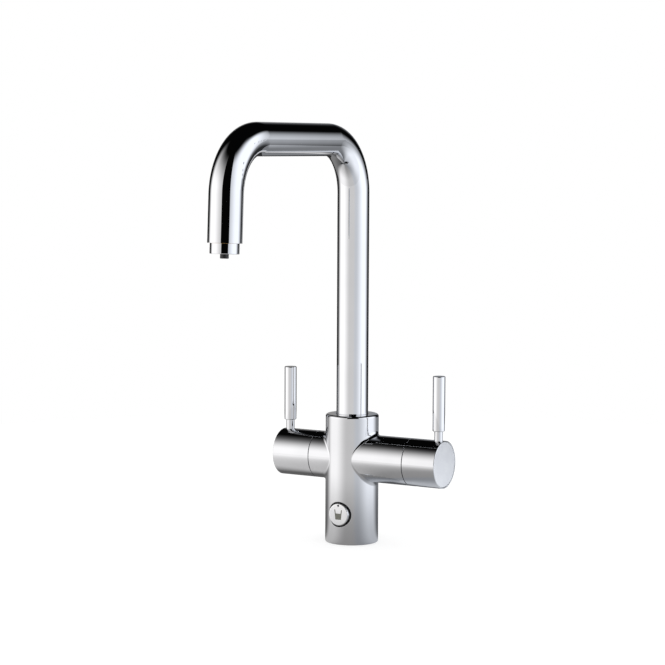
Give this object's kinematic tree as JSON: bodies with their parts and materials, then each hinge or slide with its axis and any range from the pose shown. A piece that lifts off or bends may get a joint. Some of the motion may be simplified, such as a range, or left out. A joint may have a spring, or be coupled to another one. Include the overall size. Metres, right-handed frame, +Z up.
{
  "type": "boiling water tap",
  "caption": "Kitchen tap with an upright round body, square-shouldered swivel spout, two side handles with upright rod levers and a round push button on the front.",
  "frame": {"origin": "centre of the foot, at the mouth of the stud hole, on the worktop", "axes": "+Z up along the body and the spout's column, the spout points along -Y, the handles' common axis lies along X with the mixer at +X"},
  "size_m": [0.1625, 0.2439, 0.3694],
  "materials": {
    "polished_chrome": "polished",
    "satin_chrome": "satin",
    "raw_brass": "satin",
    "stainless_steel": "satin",
    "epdm_rubber": "matte",
    "white_acetal": "satin",
    "alumina_ceramic": "polished",
    "black_acetal": "satin",
    "pictogram_grey": "matte",
    "smoked_lens": "gloss"
  },
  "bodies": {
    "base": {"body": "polished_chrome", "base_gasket": "epdm_rubber", "thrust_washer": "white_acetal", "upper_glide_ring": "white_acetal", "stop_screw": "stainless_steel", "inner_tube_seal": "epdm_rubber", "mixer_gasket": "epdm_rubber", "mixer_base": "white_acetal", "mixer_shell": "raw_brass", "mixer_fixed_disc": "alumina_ceramic", "mixer_washer": "white_acetal", "mixer_nut": "raw_brass", "right_seam_ring": "black_acetal", "valve_gasket": "epdm_rubber", "valve_base": "white_acetal", "valve_shell": "raw_brass", "valve_fixed_disc": "alumina_ceramic", "valve_washer": "white_acetal", "valve_nut": "raw_brass", "left_seam_ring": "black_acetal", "button_housing": "black_acetal", "button_switch": "black_acetal", "button_spring": "stainless_steel", "button_seal": "epdm_rubber"},
    "spout": {"spout_tube": "polished_chrome", "spout_spigot": "raw_brass", "lower_glide_ring": "white_acetal", "spigot_orings": "epdm_rubber", "inner_tube_spider": "white_acetal", "inner_tube": "stainless_steel", "outlet_bush": "raw_brass", "aerator_washer": "epdm_rubber", "aerator_housing": "polished_chrome", "aerator_core": "black_acetal", "boiling_nozzle": "black_acetal"},
    "mixer_handle": {"mixer_moving_disc": "alumina_ceramic", "mixer_spindle": "raw_brass", "mixer_spindle_oring": "epdm_rubber", "right_handle": "polished_chrome", "right_end_cap": "satin_chrome", "right_lever": "polished_chrome", "right_grub_screw": "stainless_steel"},
    "valve_handle": {"valve_moving_disc": "alumina_ceramic", "valve_spindle": "raw_brass", "valve_spindle_oring": "epdm_rubber", "left_handle": "polished_chrome", "left_end_cap": "satin_chrome", "left_lever": "polished_chrome", "left_grub_screw": "stainless_steel"},
    "button": {"button_cap": "satin_chrome", "tumbler_inlay": "pictogram_grey", "indicator_lens": "smoked_lens"}
  },
  "joints": [
    {"name": "spout_swivel", "type": "hinge", "parent": "base", "child": "spout", "pos_m": [0, 0, 0.1], "axis": [0, 0, 1], "range_deg": [-70, 70]},
    {"name": "mixer_turn", "type": "hinge", "parent": "base", "child": "mixer_handle", "pos_m": [0.0603, 0, 0.0756], "axis": [1, 0, 0], "range_deg": [0, 90]},
    {"name": "valve_turn", "type": "hinge", "parent": "base", "child": "valve_handle", "pos_m": [-0.0328, 0, 0.0756], "axis": [1, 0, 0], "range_deg": [-45, 45]},
    {"name": "button_press", "type": "slide", "parent": "base", "child": "button", "axis": [0, 1, 0], "range_m": [0, 0.0008], "stiffness_N_per_m": 1200, "springref_m": -0.0012, "deforming": ["button_spring"]}
  ]
}
